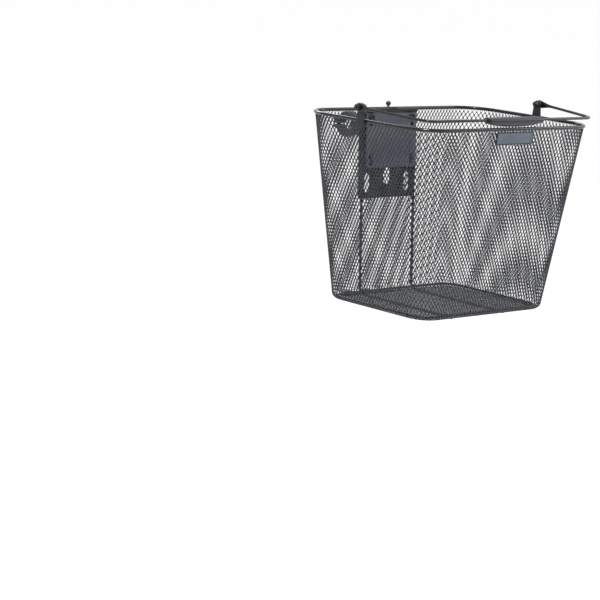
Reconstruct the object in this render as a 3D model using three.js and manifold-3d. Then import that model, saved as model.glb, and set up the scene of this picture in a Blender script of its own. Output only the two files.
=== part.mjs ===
// A wire-mesh handlebar basket with a folding carrying handle and a lift-off handlebar holder.
// Millimetres, +Z up. X runs across the bicycle, -Y is the front of the basket and +Y the rider.
// The model is laid out with z = 0 under the basket, and the whole group is then moved so that
// the origin is the middle of the handlebar that the holder clamps.
import * as THREE from 'three';
import { mergeVertices } from 'three/addons/utils/BufferGeometryUtils.js';
import Module from 'manifold-3d';

const wasm = await Module();
wasm.setup();

// ---------------------------------------------------------------- driving dimensions
const gap = 0.3; // clearance between touching pieces

const rim = { width: 350, depth: 240, radius: 46, shift: 0, z: 268 }; // rim wire centreline
const foot = { width: 258, depth: 200, radius: 34, shift: -1.8, z: 5 }; // wall lines at the floor
const rimWire = 5;
const floorWire = 4;
const rodWire = 4;
const sheet = 1.4; // thickness of the expanded mesh
const footBend = 10; // outer radius where the wall turns under
const footLip = 2.6; // flat edge of the wall, under the floor wire

const rodSpread = 53; // support rods, each side of the middle
const rodReach = -83; // front ends of the rods under the floor

const innerPlate = { width: 102, low: 178.5, bend: 258, top: 264, thick: 1.8 };
const outerPlate = { width: 114, low: 134.5, top: 257, thick: 2 };
const plateBolt = { x: 41.5, up: 251.6, radius: 2.5 };
const plateHole = { below: 10.6, radius: 2.75 }; // an open round hole under each plate bolt
const tieTab = { x: 41, low: 184, top: 197, thick: 3 };
const tieSlot = { width: 7, low: 182.5, top: 198.5 }; // in the inner plate, round each tab
const sideSlot = { x: 40, width: 11, low: 143.5, top: 171 };
const middleSlot = { width: 14, low: 154, top: 180 };
const notch = { width: 10, low: 190 }; // clears the release pin
const hookSlot = { x: 24, width: 10, low: 200, top: 227 };
const liftTravel = 12.5; // how far the basket is raised off its hooks

const holderPlate = { width: 68, low: 192, top: 246, thick: 3 };
const bar = { y: 182, z: 238, radius: 12.7 }; // handlebar centre
const shimThick = 1.8;
const armWidth = 14;
const armSpread = 22;

const pin = { radius: 2, out: 5.4, low: 194, top: 267 };
const pivot = { y: -1.9, z: 286.3 };
const post = { below: 7, lowWidth: 16, topRadius: 5.6 }; // wider at its foot than at the pivot
const handleWire = 4;
const crossbar = { y: -117, z: 280.3, halfWidth: 166 };
const grip = { length: 108, width: 21, above: 4.2, below: 9.2 };
const badge = { width: 74, height: 18, top: 264.8, thick: 1.6 };

// ---------------------------------------------------------------- materials
const blackWire = new THREE.MeshStandardMaterial({ color: 0x15171c, roughness: 0.28, metalness: 0.35 });
const meshCoat = new THREE.MeshStandardMaterial({ color: 0x1d2028, roughness: 0.45, metalness: 0.3 });
const plateCoat = new THREE.MeshStandardMaterial({ color: 0x33363d, roughness: 0.5, metalness: 0.3 });
const blackPlastic = new THREE.MeshStandardMaterial({ color: 0x1f2126, roughness: 0.55, metalness: 0 });
const darkZinc = new THREE.MeshStandardMaterial({ color: 0x3b3d42, roughness: 0.3, metalness: 0.9 });
const springSteel = new THREE.MeshStandardMaterial({ color: 0x8d9096, roughness: 0.3, metalness: 1 });
const greyLabel = new THREE.MeshStandardMaterial({ color: 0x4a5560, roughness: 0.5, metalness: 0.2 });
const blackRubber = new THREE.MeshStandardMaterial({ color: 0x141414, roughness: 0.85, metalness: 0 });

// ---------------------------------------------------------------- solids and booleans
function toSolid(geometry) {
  const bare = geometry.clone();
  bare.deleteAttribute('normal');
  bare.deleteAttribute('uv');
  const merged = mergeVertices(bare, 1e-4);
  const vertProperties = new Float32Array(merged.attributes.position.array);
  const triVerts = new Uint32Array(merged.index.array);
  return new wasm.Manifold(new wasm.Mesh({ numProp: 3, vertProperties, triVerts }));
}

function toGeometry(solid) {
  const mesh = solid.getMesh();
  const geometry = new THREE.BufferGeometry();
  geometry.setAttribute('position', new THREE.BufferAttribute(new Float32Array(mesh.vertProperties), 3));
  geometry.setIndex(new THREE.BufferAttribute(new Uint32Array(mesh.triVerts), 1));
  return geometry;
}

const cut = (body, tools) => toGeometry(tools.reduce((s, t) => s.subtract(toSolid(t)), toSolid(body)));
const join = (...parts) => toGeometry(parts.map(toSolid).reduce((a, b) => a.add(b)));

// ---------------------------------------------------------------- geometry helpers
// A rounded rectangle, counter-clockwise from above, as rings of points for lofts.
function outline({ width, depth, radius, shift }, inset, z, steps = 6) {
  const halfWidth = width / 2 - inset;
  const halfDepth = depth / 2 - inset;
  const r = Math.max(radius - inset, 1);
  const points = [];
  for (const [sx, sy, turn] of [[1, 1, 0], [-1, 1, 1], [-1, -1, 2], [1, -1, 3]]) {
    for (let k = 0; k <= steps; k++) {
      const a = (turn + k / steps) * Math.PI / 2;
      const x = sx * (halfWidth - r) + r * Math.cos(a);
      const y = shift + sy * (halfDepth - r) + r * Math.sin(a);
      points.push(new THREE.Vector3(x, y, z));
    }
  }
  return points;
}

// The wall's own outline at any height, between the floor line and the rim.
function wallLine(z) {
  const t = (z - foot.z) / (rim.z - foot.z);
  const mix = (key) => foot[key] + (rim[key] - foot[key]) * t;
  return { width: mix('width'), depth: mix('depth'), radius: mix('radius'), shift: mix('shift') };
}

// Joins rings of equal length, the last back to the first: a closed solid round an outline.
function ringSolid(rings) {
  const count = rings[0].length;
  const position = rings.flat().flatMap((p) => [p.x, p.y, p.z]);
  const index = [];
  rings.forEach((_, i) => {
    const next = ((i + 1) % rings.length) * count;
    for (let k = 0; k < count; k++) {
      const [a, b] = [i * count + k, i * count + (k + 1) % count];
      const [c, d] = [next + k, next + (k + 1) % count];
      index.push(a, b, d, a, d, c);
    }
  });
  const geometry = new THREE.BufferGeometry();
  geometry.setAttribute('position', new THREE.BufferAttribute(new Float32Array(position), 3));
  geometry.setIndex(index);
  return geometry;
}

// A closed ring of round wire along a rounded rectangle.
function wireRing(line, wire, inset, z, sides = 8) {
  const rings = [];
  for (let i = 0; i < sides; i++) {
    const a = -2 * Math.PI * i / sides;
    rings.push(outline(line, inset + (wire / 2) * Math.cos(a), z + (wire / 2) * Math.sin(a)));
  }
  return ringSolid(rings);
}

// A path through corner points, each inner corner turned on its bend radius.
function bentPath(corners, radius, steps = 5) {
  const path = [corners[0]];
  for (let i = 1; i < corners.length - 1; i++) {
    const back = corners[i - 1].clone().sub(corners[i]).normalize();
    const ahead = corners[i + 1].clone().sub(corners[i]).normalize();
    const half = back.angleTo(ahead) / 2;
    const middle = back.clone().add(ahead).normalize();
    const centre = corners[i].clone().addScaledVector(middle, radius / Math.sin(half));
    const start = corners[i].clone().addScaledVector(back, radius / Math.tan(half)).sub(centre);
    const turn = new THREE.Vector3().crossVectors(back, ahead).normalize();
    for (let k = 0; k <= steps; k++) {
      const angle = -(Math.PI - 2 * half) * k / steps;
      path.push(start.clone().applyAxisAngle(turn, angle).add(centre));
    }
  }
  path.push(corners[corners.length - 1]);
  return path;
}

// A curve that visits its own points, so that straight stretches take one step.
class PointPath extends THREE.Curve {
  constructor(points) {
    super();
    this.points = points;
  }
  getPointAt(u, target = new THREE.Vector3()) {
    const place = u * (this.points.length - 1);
    const i = Math.min(Math.floor(place), this.points.length - 2);
    return target.copy(this.points[i]).lerp(this.points[i + 1], place - i);
  }
  getTangentAt(u, target = new THREE.Vector3()) {
    const i = Math.round(u * (this.points.length - 1));
    const before = this.points[Math.max(i - 1, 0)];
    const after = this.points[Math.min(i + 1, this.points.length - 1)];
    return target.copy(after).sub(before).normalize();
  }
}

function tube(points, wire, sides = 8) {
  const section = new THREE.Shape();
  for (let i = 0; i < sides; i++) {
    const a = 2 * Math.PI * i / sides;
    const [x, y] = [(wire / 2) * Math.cos(a), (wire / 2) * Math.sin(a)];
    if (i === 0) section.moveTo(x, y);
    else section.lineTo(x, y);
  }
  const extrudePath = new PointPath(points);
  return new THREE.ExtrudeGeometry(section, { steps: points.length - 1, extrudePath, bevelEnabled: false });
}

const vec = (x, y, z) => new THREE.Vector3(x, y, z);

function box(x0, x1, y0, y1, z0, z1) {
  const geometry = new THREE.BoxGeometry(x1 - x0, y1 - y0, z1 - z0);
  return geometry.translate((x0 + x1) / 2, (y0 + y1) / 2, (z0 + z1) / 2);
}

// A rod along X, Y or Z between two values, centred on the other two coordinates.
function rod(axis, from, to, centreA, centreB, radius, sides = 16) {
  const geometry = new THREE.CylinderGeometry(radius, radius, to - from, sides);
  const middle = (from + to) / 2;
  if (axis === 'x') return geometry.rotateZ(Math.PI / 2).translate(middle, centreA, centreB);
  if (axis === 'y') return geometry.translate(centreA, middle, centreB);
  return geometry.rotateX(Math.PI / 2).translate(centreA, centreB, middle);
}

function roundedRect(shape, x0, x1, y0, y1, r) {
  shape.moveTo(x0 + r, y0);
  shape.lineTo(x1 - r, y0);
  shape.absarc(x1 - r, y0 + r, r, -Math.PI / 2, 0);
  shape.lineTo(x1, y1 - r);
  shape.absarc(x1 - r, y1 - r, r, 0, Math.PI / 2);
  shape.lineTo(x0 + r, y1);
  shape.absarc(x0 + r, y1 - r, r, Math.PI / 2, Math.PI);
  shape.lineTo(x0, y0 + r);
  shape.absarc(x0 + r, y0 + r, r, Math.PI, Math.PI * 1.5);
  return shape;
}

const slotHole = (x, width, low, top) =>
  roundedRect(new THREE.Path(), x - width / 2, x + width / 2, low, top, width / 2 - 0.01);

function roundHole(x, y, radius) {
  const hole = new THREE.Path();
  hole.absarc(x, y, radius, 0, 2 * Math.PI);
  return hole;
}

// A plate drawn in the XZ plane, from y0 towards +Y.
function plateXZ(shape, y0, thick, curveSegments = 4) {
  const geometry = new THREE.ExtrudeGeometry(shape, { depth: thick, bevelEnabled: false, curveSegments });
  return geometry.rotateX(Math.PI / 2).translate(0, y0 + thick, 0);
}

// A profile drawn as (Y, Z) points or a shape, from x0 towards +X.
function profileYZ(shape, x0, length, curveSegments = 6) {
  const geometry = new THREE.ExtrudeGeometry(shape, { depth: length, bevelEnabled: false, curveSegments });
  return geometry.rotateX(Math.PI / 2).rotateZ(Math.PI / 2).translate(x0, 0, 0);
}

const polygon = (points) => new THREE.Shape(points.map(([x, y]) => new THREE.Vector2(x, y)));

// A turned piece: (radius, height) points from the axis back to the axis.
const turned = (points, sides = 14) =>
  new THREE.LatheGeometry(points.map(([r, h]) => new THREE.Vector2(r, h)), sides);

// A washer or bush: a closed profile that stays off the axis.
const washer = (inner, outer, thick, sides = 16) =>
  turned([[inner, 0], [outer, 0], [outer, thick], [inner, thick], [inner, 0]], sides);

// Button-head bolt along +Y: the head's crown at 0, the shank after it.
function buttonBolt(headRadius, headHeight, radius, length) {
  const crown = headHeight * 0.35;
  return turned([
    [0, 0], [headRadius * 0.55, 0], [headRadius, crown], [headRadius, headHeight],
    [radius, headHeight], [radius, headHeight + length - 0.6], [radius - 0.6, headHeight + length],
    [0, headHeight + length],
  ]);
}

function hexNut(across, hole, thick) {
  const nut = new THREE.Shape();
  for (let i = 0; i < 6; i++) {
    const a = Math.PI / 6 + i * Math.PI / 3;
    const [x, y] = [(across / Math.sqrt(3)) * Math.cos(a), (across / Math.sqrt(3)) * Math.sin(a)];
    if (i === 0) nut.moveTo(x, y);
    else nut.lineTo(x, y);
  }
  nut.holes.push(roundHole(0, 0, hole));
  return plateXZ(nut, 0, thick, 7);
}

// ---------------------------------------------------------------- scene graph
const part = new THREE.Group();
part.position.set(0, -bar.y, -bar.z);

// The back wall leans: its own frame has X across, Y out from the wall and Z up along it.
const footBack = foot.shift + foot.depth / 2;
const lean = Math.atan((rim.depth / 2 - footBack) / (rim.z - foot.z));
const backWall = new THREE.Group();
backWall.position.set(0, footBack, foot.z);
backWall.rotation.x = -lean;
part.add(backWall);

function add(name, geometry, material, parent = part) {
  const mesh = new THREE.Mesh(geometry, material);
  mesh.name = name;
  parent.add(mesh);
  return mesh;
}

// A copy of a point given in the back wall's frame, in the basket's frame.
function fromWall(x, out, up) {
  const y = footBack + out * Math.cos(lean) + up * Math.sin(lean);
  return vec(x, y, foot.z - out * Math.sin(lean) + up * Math.cos(lean));
}

// The same place seen from the back wall's frame.
function toWall(y, z) {
  const [dy, dz] = [y - footBack, z - foot.z];
  return { out: dy * Math.cos(lean) - dz * Math.sin(lean), up: dy * Math.sin(lean) + dz * Math.cos(lean) };
}

const wallFace = sheet / 2;
const rodOut = wallFace + 0.5 + rodWire / 2; // rod centre behind the wall's middle
const plateOut = rodOut + rodWire / 2 + gap; // front face of the outer plate
const holderOut = plateOut + outerPlate.thick + gap; // front face of the holder plate
const armOut = holderOut + holderPlate.thick + gap; // front face of the arms
const sides = [['left', 1], ['right', -1]];

// ---------------------------------------------------------------- basket body
function meshWalls() {
  const top = rim.z - rimWire / 2 - gap;
  const floorUnder = foot.z - sheet / 2;
  const bendCentre = floorUnder + footBend;
  const turnSteps = 4;
  const ring = (z, inset) => outline(wallLine(Math.max(z, bendCentre)), inset, z);
  const side = (radius, face) => {
    const rings = [ring(top, face), ring(bendCentre, face)];
    for (let k = 1; k <= turnSteps; k++) {
      const a = (k / turnSteps) * Math.PI / 2;
      rings.push(ring(bendCentre - radius * Math.sin(a), footBend - wallFace - radius * Math.cos(a)));
    }
    rings.push(ring(bendCentre - radius, footBend - wallFace + footLip));
    return rings;
  };
  const outside = side(footBend, -wallFace);
  const inside = side(footBend - sheet, wallFace);
  const shell = ringSolid([...inside, ...outside.reverse()]);

  const holes = [];
  for (const [, s] of sides) {
    const bolt = rod('y', -6, 6, s * plateBolt.x, plateBolt.up, plateBolt.radius + 0.5, 12);
    const tab = box(s * tieTab.x - 2.2, s * tieTab.x + 2.2, -6, 6, tieTab.low - 0.7, tieTab.top + 0.7);
    for (const tool of [bolt, tab]) holes.push(tool.rotateX(-lean).translate(0, footBack, foot.z));
    holes.push(rod('y', -130, -110, s * badgePin.x, badgePin.z, badgePin.radius + 0.5, 10));
  }
  return cut(shell, holes);
}

function meshFloor() {
  const bendCentre = foot.z - sheet / 2 + footBend;
  const line = wallLine(bendCentre);
  const edge = footBend - wallFace + footLip + gap;
  const shape = new THREE.Shape(outline(line, edge, 0).map((p) => new THREE.Vector2(p.x, p.y)));
  const floor = new THREE.ExtrudeGeometry(shape, { depth: sheet, bevelEnabled: false });
  return floor.translate(0, 0, foot.z - sheet / 2);
}

// The wire ring lies on the floor's edge, inside the turn of the wall.
function floorRing() {
  const bendCentre = foot.z - sheet / 2 + footBend;
  const z = foot.z + sheet / 2 + gap + floorWire / 2;
  return wireRing(wallLine(bendCentre), floorWire, footBend - wallFace + 0.6, z);
}

// A support rod: down the back wall, round the turn, and forwards under the floor.
function supportRod(x) {
  const underZ = foot.z - sheet / 2 - gap - rodWire / 2;
  const top = fromWall(x, rodOut, toWall(rim.depth / 2, rim.z).up - rimWire / 2 - 0.7);
  const down = fromWall(x, rodOut, 20);
  const slope = (top.y - down.y) / (top.z - down.z);
  const corner = vec(x, down.y + (underZ - down.z) * slope, underZ);
  return tube(bentPath([top, corner, vec(x, rodReach, underZ)], footBend + gap + rodWire / 2, 6), rodWire);
}

const badgePin = { x: 28, z: badge.top - badge.height / 2, radius: 1.5 };
const frontLean = Math.atan((rim.depth / 2 - (foot.depth / 2 - foot.shift)) / (rim.z - foot.z));

// The badge lies on the front wall, under the rim, with its pins through the mesh.
function frontFrame() {
  const frame = new THREE.Group();
  const line = wallLine(badgePin.z);
  frame.position.set(0, line.shift - line.depth / 2, badgePin.z);
  frame.rotation.x = frontLean;
  part.add(frame);
  return frame;
}

function badgePlate() {
  const half = { x: badge.width / 2, z: badge.height / 2 };
  const shape = roundedRect(new THREE.Shape(), -half.x, half.x, -half.z, half.z, 1.5);
  const pins = sides.map(([, s]) => rod('y', -wallFace - gap - 0.5, 3, s * badgePin.x, 0, badgePin.radius, 10));
  return join(plateXZ(shape, -wallFace - gap - badge.thick, badge.thick), ...pins);
}

function badgeBacking() {
  const strip = roundedRect(new THREE.Shape(), -badgePin.x - 5, badgePin.x + 5, -4, 4, 1.5);
  for (const [, s] of sides) strip.holes.push(roundHole(s * badgePin.x, 0, badgePin.radius + gap));
  return plateXZ(strip, wallFace + gap, 1.2);
}

// ---------------------------------------------------------------- mounting plates
// Pressed from flat steel, with its top edge turned in over the basket.
function innerPlateShape() {
  const back = -wallFace - gap;
  const front = back - innerPlate.thick;
  const lipOut = 4.2;
  const section = polygon([
    [back, innerPlate.low], [back, innerPlate.bend], [back - lipOut, innerPlate.top],
    [front - lipOut, innerPlate.top - 0.6], [front, innerPlate.bend + 0.5], [front, innerPlate.low],
  ]);
  const blank = profileYZ(section, -innerPlate.width / 2, innerPlate.width);
  const holes = [];
  for (const [, s] of sides) {
    holes.push(rod('y', -6, 2, s * plateBolt.x, plateBolt.up, plateBolt.radius + gap, 12));
    holes.push(rod('y', -6, 2, s * plateBolt.x, plateBolt.up - plateHole.below, plateHole.radius, 12));
    const [x0, x1] = [s * tieTab.x - tieSlot.width / 2, s * tieTab.x + tieSlot.width / 2];
    const slot = roundedRect(new THREE.Shape(), x0, x1, tieSlot.low, tieSlot.top, tieSlot.width / 2 - 0.1);
    holes.push(plateXZ(slot, -6, 8));
  }
  return cut(blank, holes);
}

// The outer plate is slotted for the holder, and its two tabs reach through the mesh.
function outerPlateShape() {
  const half = outerPlate.width / 2;
  const shape = new THREE.Shape();
  const n = notch.width / 2;
  shape.moveTo(-half + 4, outerPlate.low);
  shape.lineTo(half - 4, outerPlate.low);
  shape.absarc(half - 4, outerPlate.low + 4, 4, -Math.PI / 2, 0);
  shape.lineTo(half, outerPlate.top);
  shape.lineTo(n, outerPlate.top);
  shape.lineTo(n, notch.low + n);
  shape.absarc(0, notch.low + n, n, 0, -Math.PI, true);
  shape.lineTo(-n, outerPlate.top);
  shape.lineTo(-half, outerPlate.top);
  shape.lineTo(-half, outerPlate.low + 4);
  shape.absarc(-half + 4, outerPlate.low + 4, 4, Math.PI, Math.PI * 1.5);
  for (const [, s] of sides) {
    shape.holes.push(slotHole(s * sideSlot.x, sideSlot.width, sideSlot.low, sideSlot.top));
  }
  shape.holes.push(slotHole(0, middleSlot.width, middleSlot.low, middleSlot.top));
  for (const [, s] of sides) {
    const [x0, x1] = [s * hookSlot.x - hookSlot.width / 2, s * hookSlot.x + hookSlot.width / 2];
    shape.holes.push(roundedRect(new THREE.Path(), x0, x1, hookSlot.low, hookSlot.top, 1.2));
    shape.holes.push(roundHole(s * plateBolt.x, plateBolt.up, plateBolt.radius + gap));
  }
  const tabs = sides.map(([, s]) => {
    const [x0, x1] = [s * tieTab.x - tieTab.thick / 2, s * tieTab.x + tieTab.thick / 2];
    return box(x0, x1, -wallFace - gap - innerPlate.thick - 0.6, plateOut + 0.5, tieTab.low, tieTab.top);
  });
  return join(plateXZ(shape, plateOut, outerPlate.thick), ...tabs);
}

function addPlateFasteners() {
  const headUnder = -wallFace - gap - innerPlate.thick - gap;
  const headHeight = 2.8;
  const nutOut = plateOut + outerPlate.thick + gap;
  for (const [side, s] of sides) {
    const at = (geometry, out) => geometry.translate(s * plateBolt.x, out, plateBolt.up);
    const bolt = buttonBolt(4.75, headHeight, plateBolt.radius, nutOut + 5.4 - headUnder);
    add(`plate_bolt_${side}`, at(bolt, headUnder - headHeight), darkZinc, backWall);
    const bush = washer(plateBolt.radius + gap, 4.5, plateOut - wallFace - 2 * gap);
    add(`plate_spacer_${side}`, at(bush, wallFace + gap), darkZinc, backWall);
    add(`plate_nut_${side}`, at(hexNut(8, plateBolt.radius + gap, 4), nutOut), darkZinc, backWall);
  }
}

// ---------------------------------------------------------------- handle
const postFace = rim.width / 2 + rimWire / 2 + gap; // inner face of a handle post
const postThick = 3;
const bushThick = 1;
const eyeThick = 2.6;
const eyeFace = postFace + postThick + gap + bushThick + gap;
const eyeMiddle = eyeFace + eyeThick / 2;

function handlePost(s) {
  const low = rim.z - post.below;
  const front = pivot.y - post.lowWidth / 2;
  const shape = new THREE.Shape();
  shape.moveTo(front, low);
  shape.lineTo(front + post.lowWidth, low);
  shape.lineTo(front + post.lowWidth, low + 5);
  shape.lineTo(pivot.y + post.topRadius, pivot.z);
  shape.absarc(pivot.y, pivot.z, post.topRadius, 0, Math.PI);
  shape.lineTo(front, low + 5);
  shape.lineTo(front, low);
  shape.holes.push(roundHole(pivot.y, pivot.z, 2.5 + gap));
  return profileYZ(shape, s > 0 ? postFace : -postFace - postThick, postThick);
}

// One bent wire, its ends flattened into eyes for the pivot bolts.
function handleBail() {
  const bend = 16;
  const eyeReach = 24;
  const towards = vec(0, crossbar.y - pivot.y, crossbar.z - pivot.z).normalize();
  const eyes = sides.map(([, s]) => {
    const normal = vec(0, -towards.z, towards.y);
    const place = (along, across) => [
      pivot.y + towards.y * along + normal.y * across, pivot.z + towards.z * along + normal.z * across,
    ];
    const points = [];
    for (let k = 0; k <= 10; k++) {
      const a = Math.PI / 2 + k * Math.PI / 10;
      points.push(place(6 * Math.cos(a), 6 * Math.sin(a)));
    }
    points.push(place(eyeReach, -1.9), place(eyeReach, 1.9));
    const shape = polygon(points.reverse());
    const tear = profileYZ(shape, s > 0 ? eyeFace : -eyeFace - eyeThick, eyeThick);
    return cut(tear, [rod('x', s * eyeMiddle - 5, s * eyeMiddle + 5, pivot.y, pivot.z, 2.5 + gap, 14)]);
  });
  const start = (s) => vec(s * eyeMiddle, pivot.y, pivot.z).addScaledVector(towards, eyeReach - 3);
  const corner = (s) => vec(s * crossbar.halfWidth, crossbar.y, crossbar.z);
  const wire = tube(bentPath([start(-1), corner(-1), corner(1), start(1)], bend, 5), handleWire, 10);
  return join(eyes[0], wire, eyes[1]);
}

// A hand grip in two halves that close round the crossbar. Its underside is full in the middle.
function gripHalf(upper) {
  const stations = 8;
  const across = 8;
  const rings = [];
  for (let i = 0; i <= stations; i++) {
    const t = 2 * i / stations - 1;
    const fullness = Math.sqrt(1 - 0.78 * t * t);
    const height = upper ? grip.above * (1 - 0.12 * t * t) : grip.below * fullness;
    const halfWidth = (grip.width / 2) * (1 - 0.2 * t * t);
    const ring = [];
    for (let k = 0; k <= across; k++) {
      const a = Math.PI * k / across;
      const lift = Math.pow(Math.sin(a), 0.75) * (height - gap / 2) + gap / 2;
      const y = crossbar.y + halfWidth * Math.cos(a);
      ring.push(vec(t * grip.length / 2, y, crossbar.z + (upper ? lift : -lift)));
    }
    rings.push(upper ? ring : ring.reverse());
  }
  return loft(rings);
}

// Rings of equal length joined in order, with flat ends.
function loft(rings) {
  const count = rings[0].length;
  const position = rings.flat().flatMap((p) => [p.x, p.y, p.z]);
  const index = [];
  for (let i = 0; i < rings.length - 1; i++) {
    for (let k = 0; k < count; k++) {
      const [a, b] = [i * count + k, i * count + (k + 1) % count];
      index.push(a, b, a + count, b, b + count, a + count);
    }
  }
  const last = (rings.length - 1) * count;
  for (let k = 1; k < count - 1; k++) {
    index.push(0, k + 1, k);
    index.push(last, last + k, last + k + 1);
  }
  const geometry = new THREE.BufferGeometry();
  geometry.setAttribute('position', new THREE.BufferAttribute(new Float32Array(position), 3));
  geometry.setIndex(index);
  return geometry;
}

function addHandle() {
  add('handle_bail', handleBail(), blackWire);
  const channel = () => rod('x', -80, 80, crossbar.y, crossbar.z, handleWire / 2 + gap, 10);
  add('grip_upper', cut(gripHalf(true), [channel()]), blackPlastic);
  add('grip_lower', cut(gripHalf(false), [channel()]), blackPlastic);
  const boltHead = 3;
  const outer = eyeFace + eyeThick + gap;
  for (const [side, s] of sides) {
    add(`handle_post_${side}`, handlePost(s), plateCoat);
    // Turned pieces are made along +Y and laid along the pivot, pointing inwards.
    const lay = (geometry, x) => geometry.rotateZ(s * Math.PI / 2).translate(s * x, pivot.y, pivot.z);
    add(`pivot_bush_${side}`, lay(washer(2.5 + gap, 5.4, bushThick), postFace + postThick + gap + bushThick),
      blackPlastic);
    add(`pivot_washer_${side}`, lay(washer(2.5 + gap, 4.9, 0.8), outer + 0.8), darkZinc);
    const headOuter = outer + 0.8 + gap + boltHead;
    const nutOuter = postFace - gap;
    const bolt = buttonBolt(4.5, boltHead, 2.5, headOuter - boltHead - nutOuter + 5);
    add(`pivot_bolt_${side}`, lay(bolt, headOuter), darkZinc);
    add(`pivot_nut_${side}`, lay(hexNut(8, 2.5 + gap, 4.2), nutOuter), darkZinc);
  }
}

// ---------------------------------------------------------------- handlebar holder
const barWall = toWall(bar.y, bar.z); // the handlebar's centre in the back wall's frame
const clampBore = bar.radius + shimThick + gap;
const clampOuter = clampBore + 4;
const split = 1.2; // the two clamp halves stay this far apart
const clampBolt = { radius: 2, out: clampBore + 6, head: 3.6 };
const ear = { reach: clampBolt.out + 4.7, height: 5 };

// Pressed steel with two up-turned hooks, and two guides for the release pin.
function holderPlateShape() {
  const half = holderPlate.width / 2;
  const shape = roundedRect(new THREE.Shape(), -half, half, holderPlate.low, holderPlate.top, 6);
  const guides = [[208, 211], [238, 241]];
  shape.holes.push(roundedRect(new THREE.Path(), -5, 5, guides[0][1] + 0.5, guides[1][0] - 0.5, 1));
  const pieces = [plateXZ(shape, holderOut, holderPlate.thick)];
  for (const [, s] of sides) {
    const x = s * hookSlot.x;
    const tipTop = hookSlot.top + 11.2;
    const section = polygon([
      [holderOut + 0.5, hookSlot.low + liftTravel + 0.8], [holderOut + 0.5, hookSlot.top - gap],
      [plateOut - gap, hookSlot.top - gap], [plateOut - gap, tipTop], [2.9, tipTop],
      [2.6, tipTop - 1.5], [2.6, hookSlot.low + liftTravel + 2.8], [4.6, hookSlot.low + liftTravel + 0.8],
    ].reverse());
    pieces.push(profileYZ(section, x - 4, 8));
  }
  for (const [low, top] of guides) {
    pieces.push(box(-4.6, 4.6, pin.out - 3.6, holderOut + 0.5, low, top));
  }
  const bores = guides.map(([low, top]) => rod('z', low - 1, top + 1, 0, pin.out, pin.radius + gap, 12));
  for (const [, s] of sides) {
    for (const up of armScrewUps) {
      bores.push(rod('y', holderOut - 1, armOut + 1, s * armSpread, up, 2 + gap, 12));
      bores.push(rod('y', holderOut - 1, holderOut + 2, s * armSpread, up, 4 + gap, 14));
    }
  }
  return cut(join(...pieces), bores);
}

const armScrewUps = [202, 232];

// The arm carries the upper half of the clamp, which sits over the bar.
function clampArm(s) {
  const { out, up } = barWall;
  const face = up + split / 2;
  const start = Math.asin(split / 2 / clampBore);
  const earTop = face + 2 * ear.height;
  const shape = new THREE.Shape();
  shape.moveTo(armOut, holderPlate.low + 4);
  shape.lineTo(armOut + 7, holderPlate.low + 4);
  shape.lineTo(out - ear.reach - 1.5, up - 9);
  shape.lineTo(out - ear.reach - 1.5, face);
  shape.absarc(out, up, clampBore, Math.PI - start, start, true);
  shape.lineTo(out + ear.reach, face);
  shape.lineTo(out + ear.reach, earTop);
  shape.absarc(out, up, clampOuter, Math.asin((earTop - up) / clampOuter), 2.2, false);
  shape.lineTo(out - ear.reach, up + 12);
  shape.lineTo(armOut, holderPlate.top - 2);
  const x = s * armSpread;
  const arm = profileYZ(shape, x - armWidth / 2, armWidth, 10);
  const bores = armScrewUps.map((v) => rod('y', armOut - 1, armOut + 9, x, v, 2 + gap, 12));
  for (const side of [-1, 1]) {
    const boltOut = out + side * clampBolt.out;
    bores.push(rod('z', face - 1, face + 9, x, boltOut, clampBolt.radius + gap, 12));
  }
  return cut(arm, bores);
}

// The lower half, drawn up against the arm by a bolt on each side of the bar.
function clampCap(s) {
  const { out, up } = barWall;
  const face = up - split / 2;
  const start = Math.asin(split / 2 / clampBore);
  const seat = clampBolt.out - clampBolt.head - gap;
  const turn = Math.acos(seat / clampOuter);
  const shape = new THREE.Shape();
  shape.moveTo(out - ear.reach, face - ear.height);
  shape.lineTo(out - seat, face - ear.height);
  shape.absarc(out, up, clampOuter, Math.PI + turn, 2 * Math.PI - turn, false);
  shape.lineTo(out + seat, face - ear.height);
  shape.lineTo(out + ear.reach, face - ear.height);
  shape.lineTo(out + ear.reach, face);
  shape.absarc(out, up, clampBore, -start, start - Math.PI, true);
  shape.lineTo(out - ear.reach, face);
  const x = s * armSpread;
  const cap = profileYZ(shape, x - armWidth / 2, armWidth, 10);
  const bores = [-1, 1].map((side) =>
    rod('z', face - 20, face + 1, x, out + side * clampBolt.out, clampBolt.radius + gap, 12));
  return cut(cap, bores);
}

// A rubber liner, slit at the back so that it springs over the bar.
function clampShim(s) {
  const { out, up } = barWall;
  const slit = 0.12;
  const shape = new THREE.Shape();
  shape.absarc(out, up, bar.radius + shimThick, slit, 2 * Math.PI - slit);
  shape.absarc(out, up, bar.radius, 2 * Math.PI - slit, slit, true);
  return profileYZ(shape, s * armSpread - armWidth / 2 - 1, armWidth + 2, 12);
}

function addHolder() {
  add('holder_plate', holderPlateShape(), plateCoat, backWall);
  for (const [side, s] of sides) {
    const x = s * armSpread;
    add(`clamp_arm_${side}`, clampArm(s), blackPlastic, backWall);
    add(`clamp_cap_${side}`, clampCap(s), blackPlastic, backWall);
    add(`clamp_liner_${side}`, clampShim(s), blackRubber, backWall);
    armScrewUps.forEach((up, i) => {
      const screw = buttonBolt(4, 1.8, 2, 10.4);
      add(`arm_screw_${side}_${i + 1}`, screw.translate(x, holderOut + 0.1, up), darkZinc, backWall);
    });
    const headTop = barWall.up - split / 2 - ear.height - gap;
    [['front', -1], ['back', 1]].forEach(([place, v]) => {
      const bolt = buttonBolt(clampBolt.head, 2.6, clampBolt.radius, 14).rotateX(Math.PI / 2);
      const out = barWall.out + v * clampBolt.out;
      add(`clamp_bolt_${side}_${place}`, bolt.translate(x, out, headTop - 2.6), darkZinc, backWall);
    });
  }
}

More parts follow.
